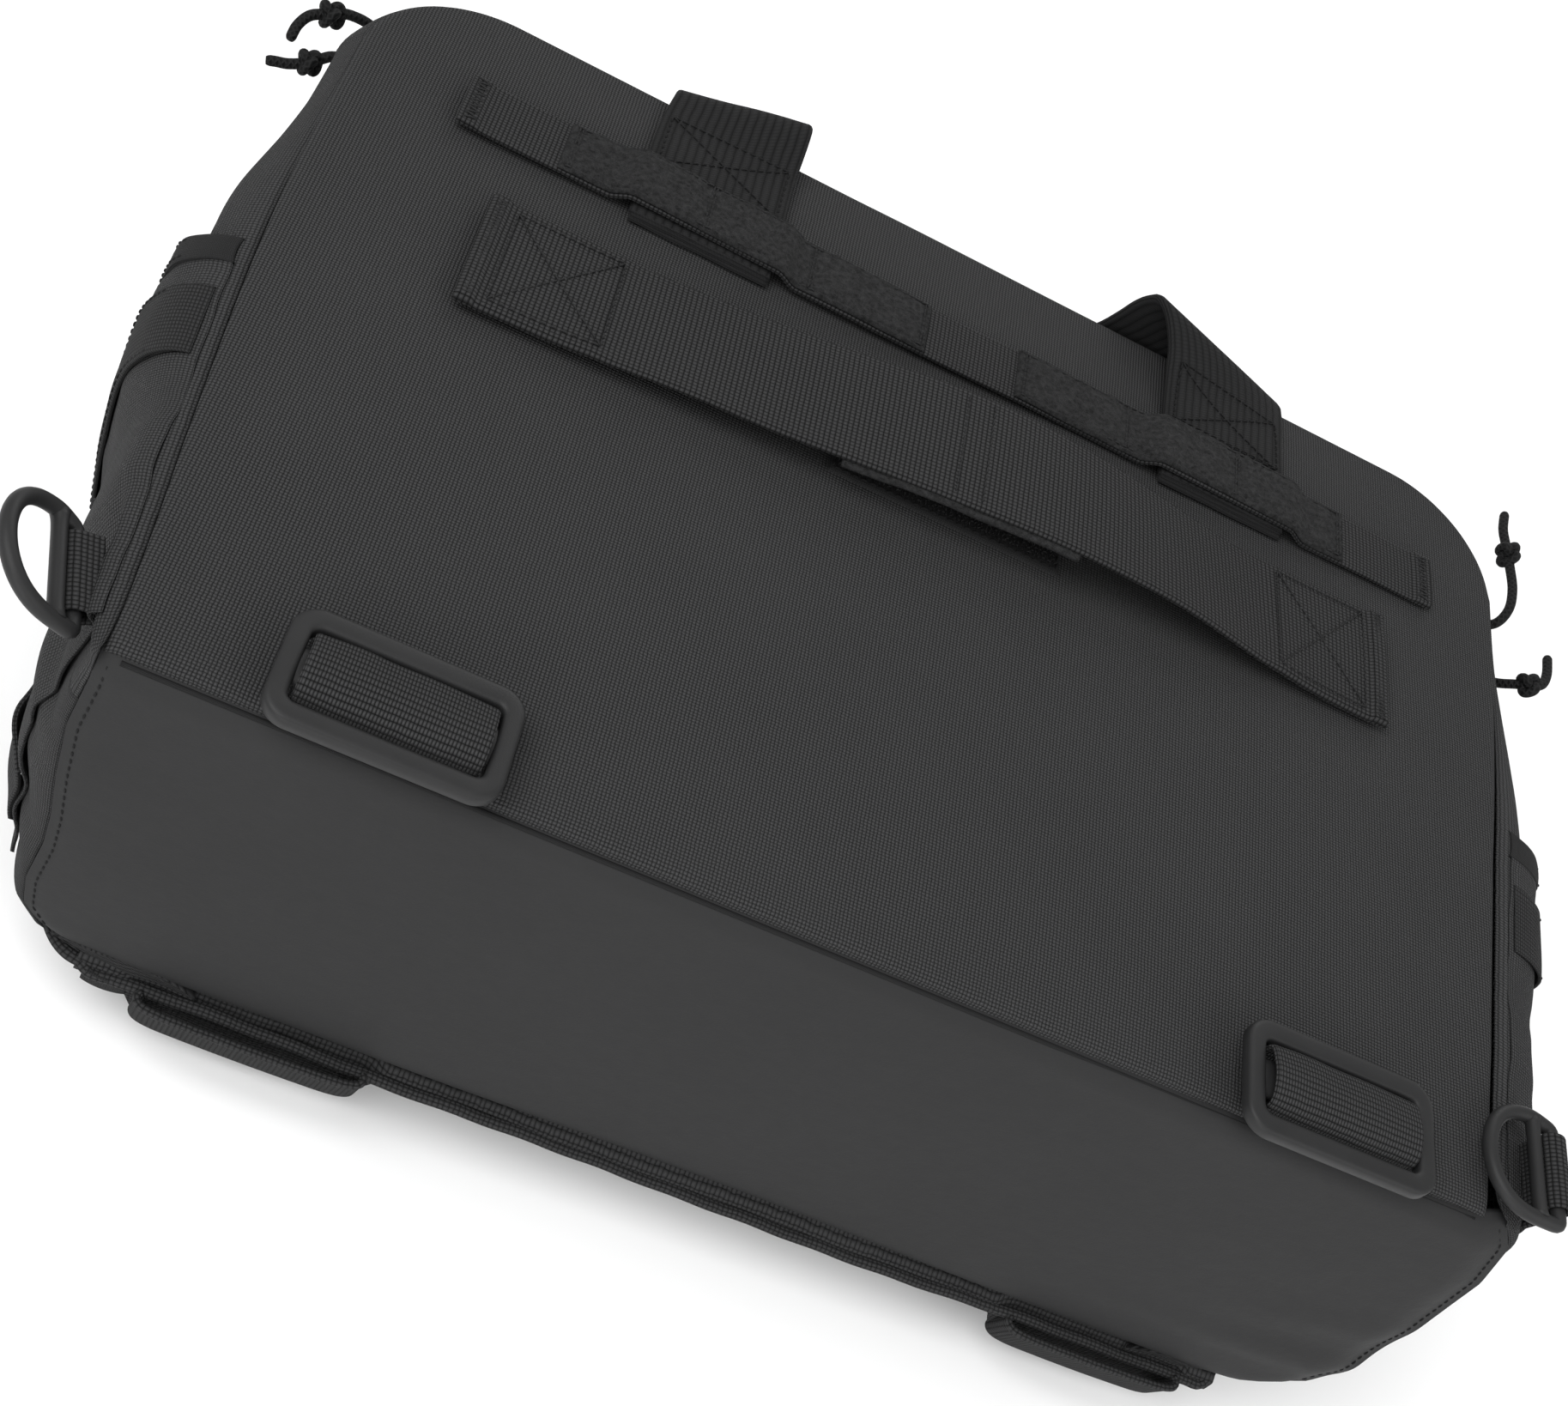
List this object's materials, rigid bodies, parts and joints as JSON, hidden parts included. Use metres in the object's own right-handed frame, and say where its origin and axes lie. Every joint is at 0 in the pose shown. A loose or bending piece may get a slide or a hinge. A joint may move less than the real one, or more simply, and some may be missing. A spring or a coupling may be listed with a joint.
{
  "type": "soft tail bag",
  "caption": "Black woven soft bag lying on its front, back panel up, with coated base, strap slides, D-rings, carry handles, straps, side pockets and cord zip pulls.",
  "frame": {"origin": "middle of the ground under the bag's box, the bag lying on its front pocket with the back panel up, zip pulls not counted", "axes": "+X along the bag's width, to the right when the back panel is seen with the handles away; +Y from the coated base to the handles; +Z out of the back panel"},
  "size_m": [0.5007, 0.3674, 0.1927],
  "materials": {
    "woven_nylon": "matte",
    "coated_base": "matte",
    "webbing": "matte",
    "handle_webbing": "matte",
    "loop_tape": "matte",
    "plastic": "satin",
    "binding": "matte",
    "zip_tape": "matte",
    "zip_slider": "satin",
    "pull_cord": "matte",
    "foam": "matte",
    "board": "matte"
  },
  "bodies": {
    "bag": {"back_panel": "woven_nylon", "rear_gusset": "woven_nylon", "middle_gusset": "woven_nylon", "front_gusset": "woven_nylon", "side_panel_left": "woven_nylon", "side_panel_right": "woven_nylon", "front_panel": "woven_nylon", "front_pocket": "woven_nylon", "side_pocket_left": "woven_nylon", "side_pocket_right": "woven_nylon", "base_panel": "coated_base", "wide_strap": "webbing", "thin_strap": "webbing", "d_ring_web_left": "webbing", "d_ring_web_right": "webbing", "side_band_left": "webbing", "side_band_right": "webbing", "side_lash_web_left": "webbing", "side_lash_web_right": "webbing", "front_lash_loop_left": "webbing", "front_lash_loop_right": "webbing", "front_piping": "webbing", "back_handle_end_left": "handle_webbing", "back_handle_end_right": "handle_webbing", "front_handle_end_left": "handle_webbing", "front_handle_end_right": "handle_webbing", "loop_tape_left": "loop_tape", "loop_tape_right": "loop_tape", "strap_hook_patch": "loop_tape", "pocket_binding_left": "binding", "pocket_binding_right": "binding", "rear_zip_tape": "zip_tape", "main_zip_tape": "zip_tape", "back_foam": "foam", "laptop_divider": "foam", "base_board": "board"},
    "left_slide": {"strap_slide_left": "plastic", "slide_web_left": "webbing"},
    "right_slide": {"strap_slide_right": "plastic", "slide_web_right": "webbing"},
    "left_ring": {"d_ring_left": "plastic"},
    "right_ring": {"d_ring_right": "plastic"},
    "back_handle": {"back_handle_loop": "handle_webbing"},
    "front_handle": {"front_handle_loop": "handle_webbing"},
    "slider_right_upper": {"zip_slider_right_upper": "zip_slider"},
    "pull_right_upper": {"pull_cord_right_upper": "pull_cord", "pull_knot_right_upper": "pull_cord", "pull_tail_right_upper": "pull_cord"},
    "slider_right_lower": {"zip_slider_right_lower": "zip_slider"},
    "pull_right_lower": {"pull_cord_right_lower": "pull_cord", "pull_knot_right_lower": "pull_cord", "pull_tail_right_lower": "pull_cord"},
    "slider_left_upper": {"zip_slider_left_upper": "zip_slider"},
    "pull_left_upper": {"pull_cord_left_upper": "pull_cord", "pull_knot_left_upper": "pull_cord", "pull_tail_left_upper": "pull_cord"},
    "slider_left_lower": {"zip_slider_left_lower": "zip_slider"},
    "pull_left_lower": {"pull_cord_left_lower": "pull_cord", "pull_knot_left_lower": "pull_cord", "pull_tail_left_lower": "pull_cord"}
  },
  "joints": [
    {"name": "left_slide_flap", "type": "hinge", "parent": "bag", "child": "left_slide", "pos_m": [-0.1395, -0.17115, 0.1776], "axis": [1, 0, 0], "range_deg": [0, 100]},
    {"name": "right_slide_flap", "type": "hinge", "parent": "bag", "child": "right_slide", "pos_m": [0.14, -0.17115, 0.1776], "axis": [1, 0, 0], "range_deg": [0, 100]},
    {"name": "left_ring_swing", "type": "hinge", "parent": "bag", "child": "left_ring", "pos_m": [-0.2219, -0.14775, 0.1685], "axis": [-0.3256, 0.9455, 0], "range_deg": [-125, 34]},
    {"name": "right_ring_swing", "type": "hinge", "parent": "bag", "child": "right_ring", "pos_m": [0.2186, -0.14955, 0.1804], "axis": [0, 1, 0], "range_deg": [0, 180]},
    {"name": "back_handle_flop", "type": "hinge", "parent": "bag", "child": "back_handle", "pos_m": [0, 0.12715, 0.1783], "axis": [1, 0, 0], "range_deg": [0, 100]},
    {"name": "front_handle_flop", "type": "hinge", "parent": "bag", "child": "front_handle", "pos_m": [0, 0.09735, 0.0268], "axis": [1, 0, 0], "range_deg": [-100, 8]},
    {"name": "right_upper_zip", "type": "hinge", "parent": "bag", "child": "slider_right_upper", "pos_m": [0.1765, 0.08585, 0.1464], "axis": [0, 0, 1], "range_deg": [0, 60]},
    {"name": "right_lower_zip", "type": "slide", "parent": "bag", "child": "slider_right_lower", "axis": [0, 1, 0], "range_m": [-0.018, 0]},
    {"name": "left_upper_zip", "type": "hinge", "parent": "bag", "child": "slider_left_upper", "pos_m": [-0.1765, 0.08585, 0.1044], "axis": [0, 0, 1], "range_deg": [-24, 0]},
    {"name": "left_lower_zip", "type": "hinge", "parent": "bag", "child": "slider_left_lower", "pos_m": [-0.1765, 0.08585, 0.1044], "axis": [0, 0, 1], "range_deg": [0, 26]},
    {"name": "right_upper_pull_swing", "type": "hinge", "parent": "slider_right_upper", "child": "pull_right_upper", "pos_m": [0.21954, 0.10501, 0.1464], "axis": [0, 0, 1], "range_deg": [-20, 40]},
    {"name": "right_lower_pull_swing", "type": "hinge", "parent": "slider_right_lower", "child": "pull_right_lower", "pos_m": [0.22361, 0.07635, 0.1464], "axis": [0, 0, 1], "range_deg": [-30, 25]},
    {"name": "left_upper_pull_swing", "type": "hinge", "parent": "slider_left_upper", "child": "pull_left_upper", "pos_m": [-0.19589, 0.12231, 0.1044], "axis": [0, 0, 1], "range_deg": [-50, 20]},
    {"name": "left_lower_pull_swing", "type": "hinge", "parent": "slider_left_lower", "child": "pull_left_lower", "pos_m": [-0.21227, 0.1065, 0.1044], "axis": [0, 0, 1], "range_deg": [-8, 30]}
  ]
}
